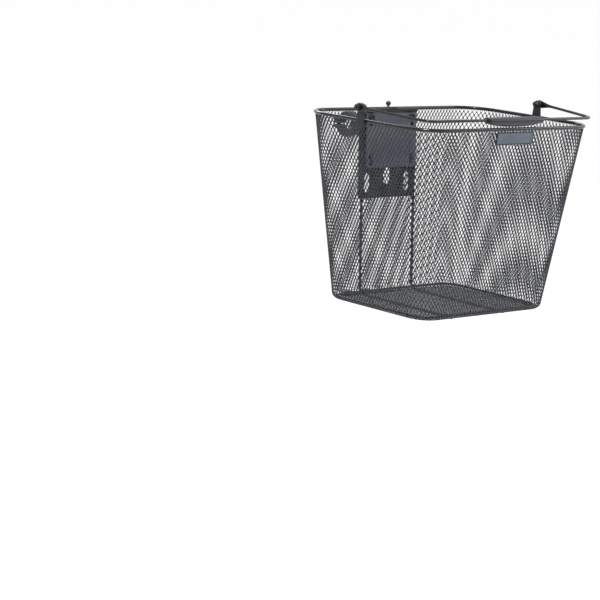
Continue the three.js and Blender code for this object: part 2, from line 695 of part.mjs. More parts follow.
// ---------------------------------------------------------------- release pin
function addRelease() {
  const crossPiece = { low: outerPlate.top + gap, thick: 3 };
  const stop = 212; // a collar turned on the pin, above the lower guide
  const springTop = 237.7;
  const upright = (geometry, low) => geometry.rotateX(Math.PI / 2).translate(0, pin.out, low);
  const r = pin.radius;
  const shaft = turned([
    [0, 0], [r - 0.6, 0], [r, 0.8], [r, stop - pin.low], [3.4, stop - pin.low],
    [3.4, stop - pin.low + 1.2], [r, stop - pin.low + 1.2], [r, pin.top - pin.low], [0, pin.top - pin.low],
  ]);
  add('release_pin', upright(shaft, pin.low), darkZinc, backWall);

  const ball = 3.9;
  const knob = turned([
    [0, 0], [2, 0], [2.2, 0.6], [ball * 0.95, 2.4], [ball, 4], [ball * 0.9, 5.4], [ball * 0.5, 6.8], [0, 7.2],
  ]);
  add('release_knob', upright(knob, pin.top + gap), blackPlastic, backWall);

  const crossTop = crossPiece.low + crossPiece.thick;
  const blank = box(-10, 10, pin.out - 2.9, pin.out + 3.9, crossPiece.low, crossTop);
  const bore = rod('z', crossPiece.low - 1, crossTop + 1, 0, pin.out, r + gap, 12);
  add('release_foot', cut(blank, [bore]), darkZinc, backWall);

  const wire = 0.9;
  const turns = 6;
  const start = stop + 1.2 + gap + wire / 2;
  const rise = springTop - wire / 2 - start;
  const steps = turns * 10;
  const coil = [];
  for (let k = 0; k <= steps; k++) {
    const a = 2 * Math.PI * turns * k / steps;
    coil.push(vec(2.95 * Math.cos(a), pin.out + 2.95 * Math.sin(a), start + rise * k / steps));
  }
  add('release_spring', tube(coil, wire, 6), springSteel, backWall);
}

// ---------------------------------------------------------------- assembly
add('rim_wire', wireRing(rim, rimWire, 0, rim.z, 10), blackWire);
add('mesh_walls', meshWalls(), meshCoat);
add('mesh_floor', meshFloor(), meshCoat);
add('floor_wire', floorRing(), blackWire);
for (const [side, s] of sides) add(`support_rod_${side}`, supportRod(s * rodSpread), blackWire);

const front = frontFrame();
add('badge', badgePlate(), greyLabel, front);
add('badge_backing', badgeBacking(), plateCoat, front);

add('inner_plate', innerPlateShape(), plateCoat, backWall);
add('outer_plate', outerPlateShape(), plateCoat, backWall);
addPlateFasteners();
addHandle();
addHolder();
addRelease();

export default part;
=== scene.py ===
"""Looks of the handlebar basket: real expanded mesh, smooth wires, plates, handle and holder."""

import math

import bmesh
import bpy
from mathutils import Matrix, Vector


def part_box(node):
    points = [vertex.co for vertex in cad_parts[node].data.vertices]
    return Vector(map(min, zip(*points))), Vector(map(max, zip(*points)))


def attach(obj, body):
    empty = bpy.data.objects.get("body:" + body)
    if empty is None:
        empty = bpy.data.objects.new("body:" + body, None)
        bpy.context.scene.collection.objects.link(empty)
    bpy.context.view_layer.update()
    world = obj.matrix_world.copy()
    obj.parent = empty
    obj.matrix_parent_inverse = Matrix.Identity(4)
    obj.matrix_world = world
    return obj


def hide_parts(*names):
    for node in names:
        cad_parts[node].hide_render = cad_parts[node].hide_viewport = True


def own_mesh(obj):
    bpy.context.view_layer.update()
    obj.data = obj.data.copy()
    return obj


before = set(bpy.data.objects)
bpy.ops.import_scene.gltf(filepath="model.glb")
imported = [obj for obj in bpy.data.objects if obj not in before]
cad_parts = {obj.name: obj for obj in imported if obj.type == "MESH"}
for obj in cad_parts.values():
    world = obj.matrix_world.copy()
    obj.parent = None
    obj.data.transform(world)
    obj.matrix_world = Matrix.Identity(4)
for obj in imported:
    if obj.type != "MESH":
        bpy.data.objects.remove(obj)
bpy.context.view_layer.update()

MM = 0.001
GAP = 0.3

# ------------------------------------------------------------------ the basket's own coordinates
# Millimetres: X across, Y back from the middle of the rim, Z up from under the support rods.
rim_low, rim_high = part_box("rim_wire")
RIM_Z = 268.0
ORIGIN = Vector((0, (rim_low.y + rim_high.y) / 2, (rim_low.z + rim_high.z) / 2 - RIM_Z * MM))

RIM_WIRE = 5.0
RIM = {"width": (rim_high.x - rim_low.x) / MM - RIM_WIRE, "depth": (rim_high.y - rim_low.y) / MM - RIM_WIRE,
       "radius": 46.0, "shift": 0.0}
FOOT = {"width": 258.0, "depth": 200.0, "radius": 34.0, "shift": -1.8}
FOOT_Z = 5.0
SHEET = 1.4
FOOT_BEND = 10.0
FOOT_LIP = 2.6
BEND_CENTRE = FOOT_Z - SHEET / 2 + FOOT_BEND

BACK_FOOT = FOOT["shift"] + FOOT["depth"] / 2
BACK_LEAN = math.atan((RIM["depth"] / 2 - BACK_FOOT) / (RIM_Z - FOOT_Z))
FRONT_FOOT = FOOT["depth"] / 2 - FOOT["shift"]
FRONT_LEAN = math.atan((RIM["depth"] / 2 - FRONT_FOOT) / (RIM_Z - FOOT_Z))

TO_FRAME = Matrix.Translation(ORIGIN) @ Matrix.Scale(MM, 4)
BACK_WALL = TO_FRAME @ Matrix.Translation((0, BACK_FOOT, FOOT_Z)) @ Matrix.Rotation(-BACK_LEAN, 4, "X")


def wall_line(z):
    """The wall's rounded rectangle at a height."""
    t = (z - FOOT_Z) / (RIM_Z - FOOT_Z)
    return {key: FOOT[key] + (RIM[key] - FOOT[key]) * t for key in FOOT}


def in_back_wall(y, z):
    """A place in the basket's frame as (out, up) from the foot of the back wall."""
    dy, dz = y - BACK_FOOT, z - FOOT_Z
    c, s = math.cos(BACK_LEAN), math.sin(BACK_LEAN)
    return dy * c - dz * s, dy * s + dz * c


# ------------------------------------------------------------------ materials
DARKER, LIGHTER = 0.86, 1.16  # how far the noise takes a base colour down and up
RELIEF_DEPTH = 0.06 * MM


def socket(node, name, value):
    node.inputs[name].default_value = value


def finish(name, colour, roughness, metallic=0.0, specular=0.5, coat=0.0, coat_roughness=0.1,
           grain=(900, 0.06), bump=(1800, 0.3)):
    """A coated or moulded surface whose colour, roughness and relief are broken up by fine noise.

    The grain is (scale, change in roughness), the bump is (scale, strength).
    """
    material = bpy.data.materials.new(name)
    material.use_nodes = True
    nodes, links = material.node_tree.nodes, material.node_tree.links
    shader = nodes["Principled BSDF"]
    socket(shader, "Metallic", metallic)
    socket(shader, "Specular IOR Level", specular)
    socket(shader, "Coat Weight", coat)
    socket(shader, "Coat Roughness", coat_roughness)
    place = nodes.new("ShaderNodeTexCoord")

    patches = nodes.new("ShaderNodeTexNoise")
    socket(patches, "Scale", grain[0] / 12)
    socket(patches, "Detail", 4.0)
    links.new(place.outputs["Object"], patches.inputs["Vector"])
    tint = nodes.new("ShaderNodeValToRGB")
    low = [c * DARKER for c in colour]
    high = [min(1.0, c * LIGHTER) for c in colour]
    tint.color_ramp.elements[0].position = 0.35
    tint.color_ramp.elements[0].color = (*low, 1)
    tint.color_ramp.elements[1].position = 0.68
    tint.color_ramp.elements[1].color = (*high, 1)
    links.new(patches.outputs["Fac"], tint.inputs["Fac"])
    links.new(tint.outputs["Color"], shader.inputs["Base Color"])

    fine = nodes.new("ShaderNodeTexNoise")
    socket(fine, "Scale", grain[0])
    socket(fine, "Detail", 3.0)
    links.new(place.outputs["Object"], fine.inputs["Vector"])
    rough = nodes.new("ShaderNodeMapRange")
    socket(rough, "To Min", max(0.02, roughness - grain[1]))
    socket(rough, "To Max", min(1.0, roughness + grain[1]))
    links.new(fine.outputs["Fac"], rough.inputs["Value"])
    links.new(rough.outputs["Result"], shader.inputs["Roughness"])

    skin = nodes.new("ShaderNodeTexNoise")
    socket(skin, "Scale", bump[0])
    socket(skin, "Detail", 2.0)
    links.new(place.outputs["Object"], skin.inputs["Vector"])
    relief = nodes.new("ShaderNodeBump")
    socket(relief, "Strength", bump[1])
    socket(relief, "Distance", RELIEF_DEPTH)
    links.new(skin.outputs["Fac"], relief.inputs["Height"])
    links.new(relief.outputs["Normal"], shader.inputs["Normal"])
    return material


MATERIALS = {
    "mesh_coat": finish("mesh powder coat", (0.009, 0.011, 0.017), 0.4, specular=0.35),
    "black_wire": finish("gloss black wire", (0.003, 0.0036, 0.0055), 0.16, specular=0.38),
    # The lighter satin plate coat is used only on the inner plate's sheet: a lit copy of the darker satin
    # plate, painted light for the face turned to the lamps.
    "plate_coat": finish("satin plate coat", (0.036, 0.041, 0.056), 0.42, specular=0.35, coat=0.1,
                         coat_roughness=0.3),
    "dark_plate": finish("satin dark plate", (0.007, 0.009, 0.014), 0.4, specular=0.35),
    "grey_label": finish("blank slate label", (0.055, 0.068, 0.088), 0.5, grain=(500, 0.05)),
    "black_plastic": finish("grained black plastic", (0.010, 0.011, 0.015), 0.45, specular=0.4,
                            bump=(1400, 0.9)),
    "dark_zinc": finish("black zinc", (0.016, 0.0175, 0.022), 0.25, metallic=0.45, specular=0.45,
                        grain=(1500, 0.08)),
    "spring_steel": finish("spring steel", (0.45, 0.46, 0.49), 0.3, metallic=1.0, grain=(2500, 0.08)),
    "black_rubber": finish("plain rubber", (0.012, 0.012, 0.013), 0.8, bump=(900, 1.2)),
}


# ------------------------------------------------------------------ mesh helpers
def place(points, matrix):
    return [matrix @ Vector(p) for p in points]


def merged(*parts):
    """Several (points, faces) pairs as one."""
    points, faces = [], []
    for more_points, more_faces in parts:
        start = len(points)
        points += more_points
        faces += [[start + i for i in face] for face in more_faces]
    return points, faces


def piece(name, shape, slot, body, nodes, look=None, sharp=35):
    """A finished object from (points, faces) in frame metres, riding a body and standing for CAD nodes."""
    points, faces = shape
    mesh = bpy.data.meshes.new(name)
    mesh.from_pydata(points, [], faces)
    tidy = bmesh.new()
    tidy.from_mesh(mesh)
    bmesh.ops.remove_doubles(tidy, verts=tidy.verts, dist=1e-7)
    bmesh.ops.recalc_face_normals(tidy, faces=tidy.faces)
    tidy.to_mesh(mesh)
    tidy.free()
    mesh.shade_smooth()
    mesh.set_sharp_from_angle(angle=math.radians(sharp))
    mesh.materials.append(MATERIALS[look or slot])
    obj = bpy.data.objects.new(name, mesh)
    bpy.context.scene.collection.objects.link(obj)
    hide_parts(*nodes)
    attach(obj, body)
    return obj


def turned(profile, matrix, sides=32):
    """A piece turned about its local Z from (radius, height) points. Points on the axis become poles."""
    points, rings = [], []
    for radius, height in profile:
        if radius < 1e-6:
            rings.append([len(points)])
            points.append((0, 0, height))
            continue
        rings.append(list(range(len(points), len(points) + sides)))
        for k in range(sides):
            a = 2 * math.pi * k / sides
            points.append((radius * math.cos(a), radius * math.sin(a), height))
    faces = []
    for below, above in zip(rings, rings[1:]):
        for k in range(sides):
            n = (k + 1) % sides
            if len(below) == 1 and len(above) == 1:
                continue
            if len(below) == 1:
                faces.append([below[0], above[n], above[k]])
            elif len(above) == 1:
                faces.append([below[k], below[n], above[0]])
            else:
                faces.append([below[k], below[n], above[n], above[k]])
    return place(points, matrix), faces


def swept(path, sections, first_axis, matrix, closed=False):
    """Sections, each a list of (a, b) points, carried along a path with a frame that doesn't twist."""
    path = [Vector(p) for p in path]
    count = len(path)
    points, faces = [], []
    axis = Vector(first_axis)
    size = len(sections[0])
    for i, p in enumerate(path):
        before = path[(i - 1) % count] if closed or i else path[0]
        after = path[(i + 1) % count] if closed or i < count - 1 else path[-1]
        along = (after - before).normalized()
        axis = (axis - along * axis.dot(along)).normalized()
        other = along.cross(axis)
        points += [p + axis * a + other * b for a, b in sections[i]]
    spans = count if closed else count - 1
    for i in range(spans):
        j = (i + 1) % count
        for k in range(size):
            n = (k + 1) % size
            faces.append([i * size + k, i * size + n, j * size + n, j * size + k])
    if not closed:
        faces.append(list(range(size)))
        faces.append([(count - 1) * size + k for k in range(size)])
    return place(points, matrix), faces


def round_section(radius, sides=16):
    angles = [2 * math.pi * k / sides for k in range(sides)]
    return [(radius * math.cos(a), radius * math.sin(a)) for a in angles]


def wire(path, radius, matrix, first_axis=(1, 0, 0), sides=16, closed=False):
    return swept(path, [round_section(radius, sides)] * len(path), first_axis, matrix, closed)


def bent(corners, radius, steps=10):
    """A path through corners, each inner one turned on a bend radius."""
    corners = [Vector(c) for c in corners]
    path = [corners[0]]
    for before, corner, after in zip(corners, corners[1:], corners[2:]):
        back, ahead = (before - corner).normalized(), (after - corner).normalized()
        half = back.angle(ahead) / 2
        centre = corner + (back + ahead).normalized() * radius / math.sin(half)
        start = corner + back * radius / math.tan(half) - centre
        turn = back.cross(ahead).normalized()
        for k in range(steps + 1):
            angle = -(math.pi - 2 * half) * k / steps
            path.append(centre + Matrix.Rotation(angle, 3, turn) @ start)
    return path + [corners[-1]]


def flat(loops, thick, bevel, matrix, edge_steps=2):
    """A plate in its local XY plane, centred on it, with holes and rounded edges."""
    curve = bpy.data.curves.new("flat", "CURVE")
    curve.dimensions = "2D"
    curve.fill_mode = "BOTH"
    curve.extrude = thick / 2 - bevel
    curve.bevel_depth = bevel
    curve.bevel_resolution = edge_steps
    curve.offset = -bevel
    for loop in loops:
        spline = curve.splines.new("POLY")
        spline.points.add(len(loop) - 1)
        for point, (x, y) in zip(spline.points, loop):
            point.co = (x, y, 0, 1)
        spline.use_cyclic_u = True
    holder = bpy.data.objects.new("flat", curve)
    bpy.context.scene.collection.objects.link(holder)
    bpy.context.view_layer.update()
    mesh = bpy.data.meshes.new_from_object(holder.evaluated_get(bpy.context.evaluated_depsgraph_get()))
    points = [matrix @ v.co for v in mesh.vertices]
    faces = [list(p.vertices) for p in mesh.polygons]
    bpy.data.objects.remove(holder)
    bpy.data.curves.remove(curve)
    bpy.data.meshes.remove(mesh)
    return points, faces


def arc(x, y, radius, start, end, steps=8):
    """Points on an arc, with angles in degrees."""
    out = []
    for k in range(steps + 1):
        a = math.radians(start + (end - start) * k / steps)
        out.append((x + radius * math.cos(a), y + radius * math.sin(a)))
    return out


def circle(x, y, radius, steps=24):
    return arc(x, y, radius, 0, 360, steps)[:-1]


def rounded(x0, x1, y0, y1, r, steps=6):
    return (arc(x1 - r, y0 + r, r, -90, 0, steps) + arc(x1 - r, y1 - r, r, 0, 90, steps)
            + arc(x0 + r, y1 - r, r, 90, 180, steps) + arc(x0 + r, y0 + r, r, 180, 270, steps))


def hexagon(x, y, across):
    corner = across / math.sqrt(3)
    angles = [math.radians(30 + 60 * k) for k in range(6)]
    return [(x + corner * math.cos(a), y + corner * math.sin(a)) for a in angles]


# Local XY plates stood up: their local X runs across the basket or outwards, their local Y runs up.
ACROSS = Matrix(((1, 0, 0, 0), (0, 0, -1, 0), (0, 1, 0, 0), (0, 0, 0, 1)))
SIDEWAYS = Matrix(((0, 0, 1, 0), (1, 0, 0, 0), (0, 1, 0, 0), (0, 0, 0, 1)))
TURN_OUT = Matrix.Rotation(-math.pi / 2, 4, "X")  # local Z becomes +Y


def moved(x, y, z):
    return Matrix.Translation((x, y, z))


def socket_bolt(matrix, head_radius, head_height, radius, length, key):
    """A bolt with its crown at local Z = 0, its shank along +Z and a hexagon socket in its head."""
    head = flat([circle(0, 0, head_radius, 32), hexagon(0, 0, key)], head_height, head_height * 0.3,
                matrix @ moved(0, 0, head_height / 2), 4)
    inside, tip = head_height * 0.62, head_height + length
    profile = [(0, inside), (radius, inside), (radius, tip - 0.5), (radius - 0.5, tip), (0, tip)]
    return merged(head, turned(profile, matrix, 24))


def nut(matrix, across, hole, thick):
    return flat([hexagon(0, 0, across), circle(0, 0, hole, 20)], thick, 0.35, matrix @ moved(0, 0, thick / 2))


def washer(matrix, inner, outer, thick):
    return flat([circle(0, 0, outer, 32), circle(0, 0, inner, 24)], thick, min(0.25, thick * 0.3),
                matrix @ moved(0, 0, thick / 2))


# ------------------------------------------------------------------ expanded mesh
ROW_HEIGHT = 4.88  # height of one staggered row
COLUMNS = 168  # openings round the basket
STRAND_DEPTH = 1.15  # thickness of the strands
FLOOR_STRAND_DEPTH = 0.5  # the floor panel is rolled flatter
OPENING = (2.08, 3.52)  # half width and half height of an opening in the middle of a wall
OPENING_POWER = 1.32  # 1 is a diamond, 2 an ellipse
STRAND_TWIST = 0.34  # how far a strand's edges lean out of the sheet
EDGE_STEPS = 3  # points along each edge of a diamond cell
FLOOR_CELL = 6.0  # width of a cell of the floor


def outline_point(line, inset, fraction):
    """A point and the outward normal on a rounded rectangle, by its fraction round from mid-back."""
    half_w, half_d = line["width"] / 2 - inset, line["depth"] / 2 - inset
    r = max(line["radius"] - inset, 1.0)
    flat_x, flat_y, bend = half_w - r, half_d - r, r * math.pi / 2
    total = 4 * (flat_x + flat_y + bend)
    s = (fraction % 1.0) * total
    sides = [((flat_x, half_d), (-1, 0), 2 * flat_x), ((-flat_x, flat_y), None, bend),
             ((-half_w, flat_y), (0, -1), 2 * flat_y), ((-flat_x, -flat_y), None, bend),
             ((-flat_x, -half_d), (1, 0), 2 * flat_x), ((flat_x, -flat_y), None, bend),
             ((half_w, -flat_y), (0, 1), 2 * flat_y), ((flat_x, flat_y), None, bend)]
    s = (s + flat_x) % total
    for number, (start, way, length) in enumerate(sides):
        if s <= length or number == len(sides) - 1:
            break
        s -= length
    if way:
        x, y = start[0] + way[0] * s, start[1] + way[1] * s
        return x, y + line["shift"], way[1], -way[0]
    angle = math.pi / 2 * (number + 1) / 2 + s / r
    nx, ny = math.cos(angle), math.sin(angle)
    return start[0] + r * nx, start[1] + r * ny + line["shift"], nx, ny


WALL_TOP = RIM_Z - 0.5
STRAIGHT = WALL_TOP - BEND_CENTRE
MIDDLE_BEND = FOOT_BEND - SHEET / 2
WALL_LENGTH = STRAIGHT + MIDDLE_BEND * math.pi / 2 + FOOT_LIP
WALL_ROWS = 2 * round(WALL_LENGTH / ROW_HEIGHT / 2)


def wall_point(column, row, off):
    """The wall's sheet at a column and a row (in half cells), off its middle by some millimetres."""
    down = row / WALL_ROWS * WALL_LENGTH
    fraction = column / (2 * COLUMNS)
    if down <= STRAIGHT:
        z = WALL_TOP - down
        x, y, nx, ny = outline_point(wall_line(z), 0, fraction)
        return x - nx * off, y - ny * off, z
    line = wall_line(BEND_CENTRE)
    turn = min((down - STRAIGHT) / MIDDLE_BEND, math.pi / 2)
    past = max(0.0, down - STRAIGHT - MIDDLE_BEND * math.pi / 2)
    inset = MIDDLE_BEND * (1 - math.cos(turn)) + past
    x, y, nx, ny = outline_point(line, inset, fraction)
    inward = off * math.cos(turn)
    return x - nx * inward, y - ny * inward, BEND_CENTRE - (MIDDLE_BEND - off) * math.sin(turn)


def cell_ring():
    """Points round a diamond cell, from its centre, in fractions of a half cell."""
    corners = [(1, 0), (0, 1), (-1, 0), (0, -1)]
    ring = []
    for (ax, ay), (bx, by) in zip(corners, corners[1:] + corners[:1]):
        for k in range(EDGE_STEPS):
            ring.append((ax * (EDGE_STEPS - k) + bx * k, ay * (EDGE_STEPS - k) + by * k))
    return ring


def lattice(cells, surface, half_cell, depth=STRAND_DEPTH):
    """Strands round every cell of a staggered diamond grid, on a surface(column, row, off)."""
    ring = cell_ring()
    half_w, half_h = half_cell
    points, faces, shared, uses = [], [], {}, {}
    face_off = depth / 2

    def outer(key, side):
        if (key, side) not in shared:
            shared[key, side] = len(points)
            points.append(surface(key[0] / EDGE_STEPS, key[1] / EDGE_STEPS, side * face_off))
        return shared[key, side]

    holes = []
    for sx, sy in ring:
        angle = math.atan2(sy * half_h, sx * half_w)
        c, s = abs(math.cos(angle)) / OPENING[0], abs(math.sin(angle)) / OPENING[1]
        reach = (c ** OPENING_POWER + s ** OPENING_POWER) ** (-1 / OPENING_POWER)
        holes.append((reach * math.cos(angle) / half_w, reach * math.sin(angle) / half_h, math.sin(angle)))
    for column, row in cells:
        keys = [(column * EDGE_STEPS + sx, row * EDGE_STEPS + sy) for sx, sy in ring]
        rings = {}
        for side in (1, -1):
            rings[side] = list(range(len(points), len(points) + len(ring)))
            for hx, hy, lift in holes:
                off = side * face_off * 0.5 - STRAND_TWIST * lift
                points.append(surface(column + hx, row + hy, off))
        edges = {side: [outer(key, side) for key in keys] for side in (1, -1)}
        for k in range(len(ring)):
            n = (k + 1) % len(ring)
            faces.append([edges[1][k], edges[1][n], rings[1][n], rings[1][k]])
            faces.append([edges[-1][n], edges[-1][k], rings[-1][k], rings[-1][n]])
            faces.append([rings[1][k], rings[1][n], rings[-1][n], rings[-1][k]])
            edge = frozenset((keys[k], keys[n]))
            uses.setdefault(edge, []).append((edges[1][k], edges[1][n], edges[-1][n], edges[-1][k]))
    for found in uses.values():
        if len(found) == 1:
            a, b, c, d = found[0]
            faces.append([b, a, d, c])
    return place(points, TO_FRAME), faces


def raw_piece(name, shape, slot, body, nodes):
    """As piece(), for big lattices whose points are already shared."""
    points, faces = shape
    mesh = bpy.data.meshes.new(name)
    mesh.from_pydata(points, [], faces)
    mesh.shade_smooth()
    mesh.materials.append(MATERIALS[slot])
    obj = bpy.data.objects.new(name, mesh)
    bpy.context.scene.collection.objects.link(obj)
    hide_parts(*nodes)
    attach(obj, body)
    return obj


def make_walls():
    """The walls in six panels, split at the middles of the front and back and on the sides."""
    middle = wall_line((RIM_Z + FOOT_Z) / 2)
    girth = 2 * (middle["width"] + middle["depth"]) - (8 - 2 * math.pi) * middle["radius"]
    half_cell = (girth / COLUMNS / 2, WALL_LENGTH / WALL_ROWS)
    names = ["back_right", "side_right", "front_right", "front_left", "side_left", "back_left"]
    around = 2 * COLUMNS
    for number, name in enumerate(names):
        first, last = around * number // len(names), around * (number + 1) // len(names)
        cells = [(c, r) for c in range(first, last) for r in range(1, WALL_ROWS) if (c + r) % 2 == 0]
        panel = lattice(cells, wall_point, half_cell)
        raw_piece(f"wall_mesh_{name}", panel, "mesh_coat", "basket", ["mesh_walls"])


def make_floor():
    """The floor panel, with its cut edge drawn in under the floor wire."""
    line = wall_line(BEND_CENTRE)
    inset = MIDDLE_BEND + FOOT_LIP
    half_w, half_d = line["width"] / 2 - inset, line["depth"] / 2 - inset
    r = line["radius"] - inset
    half_cell = (FLOOR_CELL / 2, ROW_HEIGHT)

    def held_in(x, y):
        cx, cy = max(abs(x) - (half_w - r), 0), max(abs(y) - (half_d - r), 0)
        far = math.hypot(cx, cy)
        if far <= r:
            return x, y
        sx, sy = math.copysign(1, x), math.copysign(1, y)
        bx = min(abs(x), half_w - r) + cx * r / far
        by = min(abs(y), half_d - r) + cy * r / far
        return sx * bx, sy * by

    def surface(column, row, off):
        x, y = held_in(column * half_cell[0], row * half_cell[1])
        return x, y + line["shift"], FOOT_Z + off

    columns, rows = math.ceil(half_w / half_cell[0]) + 1, math.ceil(half_d / half_cell[1]) + 1
    cells = []
    for column in range(-columns, columns + 1):
        for row in range(-rows, rows + 1):
            x, y = column * half_cell[0], row * half_cell[1]
            kept = held_in(x, y)
            if (column + row) % 2 == 0 and math.hypot(kept[0] - x, kept[1] - y) < 0.5:
                cells.append((column, row))
    floor = lattice(cells, surface, half_cell, FLOOR_STRAND_DEPTH)
    raw_piece("floor_mesh", floor, "mesh_coat", "basket", ["mesh_floor"])


# ------------------------------------------------------------------ wires
ROD_CLEAR = 0.5  # from the wall's sheet to a support rod


def closed_outline(line, inset, z, per_side=10):
    """A rounded rectangle as a path, with its points close together on the bends only."""
    half_w, half_d = line["width"] / 2 - inset, line["depth"] / 2 - inset
    r = line["radius"] - inset
    path = []
    for sx, sy, start in ((1, 1, 0), (-1, 1, 90), (-1, -1, 180), (1, -1, 270)):
        bend = arc(sx * (half_w - r), line["shift"] + sy * (half_d - r), r, start, start + 90, per_side)
        path += [(x, y, z) for x, y in bend]
    return path


def make_wires():
    rim = closed_outline(wall_line(RIM_Z), 0, RIM_Z, 16)
    rim_shape = wire(rim, RIM_WIRE / 2, TO_FRAME, (0, 0, 1), 24, closed=True)
    piece("rim_round", rim_shape, "black_wire", "basket", ["rim_wire"])
    low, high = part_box("floor_wire")
    radius = (high.z - low.z) / MM / 2
    z = ((low.z + high.z) / 2 - ORIGIN.z) / MM
    line = wall_line(BEND_CENTRE)
    inset = line["width"] / 2 - ((high.x - low.x) / MM / 2 - radius)
    ring = closed_outline(line, inset, z, 10)
    ring_shape = wire(ring, radius, TO_FRAME, (0, 0, 1), 16, closed=True)
    piece("floor_ring_round", ring_shape, "black_wire", "basket", ["floor_wire"])
    for side in ("left", "right"):
        name = f"support_rod_{side}"
        low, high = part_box(name)
        radius = (high.x - low.x) / MM / 2
        x = (low.x + high.x) / 2 / MM
        out = SHEET / 2 + ROD_CLEAR + radius
        under = FOOT_Z - SHEET / 2 - GAP - radius
        up = (high.z - ORIGIN.z) / MM
        slope = math.tan(BACK_LEAN)
        back = BACK_FOOT + out / math.cos(BACK_LEAN)
        top = (x, back + (up - FOOT_Z) * slope, up)
        corner = (x, back + (under - FOOT_Z) * slope, under)
        front = (x, (low.y - ORIGIN.y) / MM + 1, under)
        path = bent([top, corner, front], FOOT_BEND + GAP + radius, 12)
        tip = front[0], (low.y - ORIGIN.y) / MM, under
        sections = [round_section(radius, 16)] * len(path) + [round_section(radius * 0.7, 16)]
        rod = swept(path + [Vector(tip)], sections, (1, 0, 0), TO_FRAME)
        piece(f"rod_round_{side}", rod, "black_wire", "basket", [name])


# ------------------------------------------------------------------ mounting plates
ROD_RADIUS = 2.0
ROD_OUT = SHEET / 2 + ROD_CLEAR + ROD_RADIUS
PLATE_OUT = ROD_OUT + ROD_RADIUS + GAP
OUTER_THICK = 2.0
INNER_THICK = 1.8
INNER_BACK = -SHEET / 2 - GAP
HOLDER_OUT = PLATE_OUT + OUTER_THICK + GAP
HOLDER_THICK = 3.0
ARM_OUT = HOLDER_OUT + HOLDER_THICK + GAP
TAB_X = 41.0
SLOT_X = 40.0
HOOK_X = 24.0
BOLT_X, BOLT_UP = 41.5, 251.6
BORE_5 = 2.8  # radius of a hole for a 5 mm bolt
NUT_ACROSS = 8.0


def slot_loop(x, half, low, top, flat_end=0.05, steps=6):
    """An upright slot with round ends that keep a short flat."""
    return rounded(x - half, x + half, low, top, half - flat_end, steps)


def inner_plate():
    half, low, bend = 51.0, 178.5, 258.0
    hole_below, hole_radius = 10.6, 2.75
    tie_half, tie_low, tie_top = 3.5, 182.5, 198.5
    loops = [rounded(-half, half, low, bend + 1, 0.8)]
    for s in (1, -1):
        loops.append(circle(s * BOLT_X, BOLT_UP - hole_below, hole_radius))
        loops.append(slot_loop(s * TAB_X, tie_half, tie_low, tie_top, 0.1))
    middle = INNER_BACK - INNER_THICK / 2
    sheet = flat(loops, INNER_THICK, 0.35, BACK_WALL @ moved(0, middle, 0) @ ACROSS)
    # The top edge is turned in, with a low hump in its middle.
    lip_in, lip_up = 4.2, 6.0
    lip, hump, hump_half, corner, top_corner = 7.2, 3.4, 15, 0.6, 0.8
    shoulder = lip - top_corner
    edge = [(-half + corner, 0), (half - corner, 0), (half, corner), (half, shoulder)]
    edge.append((half - top_corner, lip))
    for x in range(hump_half, -hump_half - 1, -2):
        edge.append((x, lip + hump * 0.5 * (1 + math.cos(math.pi * x / hump_half))))
    edge += [(-half + top_corner, lip), (-half, shoulder), (-half, corner)]
    tilt = Matrix.Rotation(math.atan2(lip_in, lip_up), 4, "X")
    lip_shape = flat([edge], INNER_THICK, 0.35, BACK_WALL @ moved(0, middle, bend - 0.4) @ tilt @ ACROSS)
    # One pressed plate in two finishes: the sheet's lighter coat is painted light where it faces the lamps,
    # and the lip's darker plate finish is painted shade where it turns down from them.
    piece("inner_plate_sheet", sheet, "plate_coat", "basket", ["inner_plate"])
    piece("inner_plate_lip", lip_shape, "plate_coat", "basket", ["inner_plate"], look="dark_plate")


def outer_plate():
    """A plate notched for the release pin, with slots for the hooks and tabs bent in to the inner plate."""
    half, low, top, low_corner, top_corner = 57.0, 134.5, 257.0, 4.0, 1.0
    notch, notch_low = 5.0, 190.0
    edge = arc(-half + low_corner, low + low_corner, low_corner, 180, 270)
    edge += arc(half - low_corner, low + low_corner, low_corner, -90, 0)
    edge += arc(half - top_corner, top - top_corner, top_corner, 0, 90, 3)
    edge += arc(notch + top_corner, top - top_corner, top_corner, 90, 180, 3)
    edge += arc(0, notch_low + notch, notch, 0, -180)
    edge += arc(-notch - top_corner, top - top_corner, top_corner, 0, 90, 3)
    edge += arc(-half + top_corner, top - top_corner, top_corner, 90, 180, 3)
    hook_half, hook_low, hook_top = 5.0, 200.0, 227.0
    loops = [edge, slot_loop(0, 7.0, 154.0, 180.0, steps=10)]
    for s in (1, -1):
        loops.append(slot_loop(s * SLOT_X, 5.5, 143.5, 171.0))
        loops.append(rounded(s * HOOK_X - hook_half, s * HOOK_X + hook_half, hook_low, hook_top, 1.2))
        loops.append(circle(s * BOLT_X, BOLT_UP, BORE_5))
    parts = [flat(loops, OUTER_THICK, 0.4, BACK_WALL @ moved(0, PLATE_OUT + OUTER_THICK / 2, 0) @ ACROSS)]
    tab_in, tab_out = INNER_BACK - INNER_THICK - 0.6, PLATE_OUT + 0.5
    tab_low, tab_top, tab_thick = 184.0, 197.0, 3.0
    for s in (1, -1):
        outline = rounded(tab_in, tab_out, tab_low, tab_top, 0.6, 3)
        parts.append(flat([outline], tab_thick, 0.3, BACK_WALL @ moved(s * TAB_X, 0, 0) @ SIDEWAYS))
    piece("outer_plate_sheet", merged(*parts), "plate_coat", "basket", ["outer_plate"], look="dark_plate")


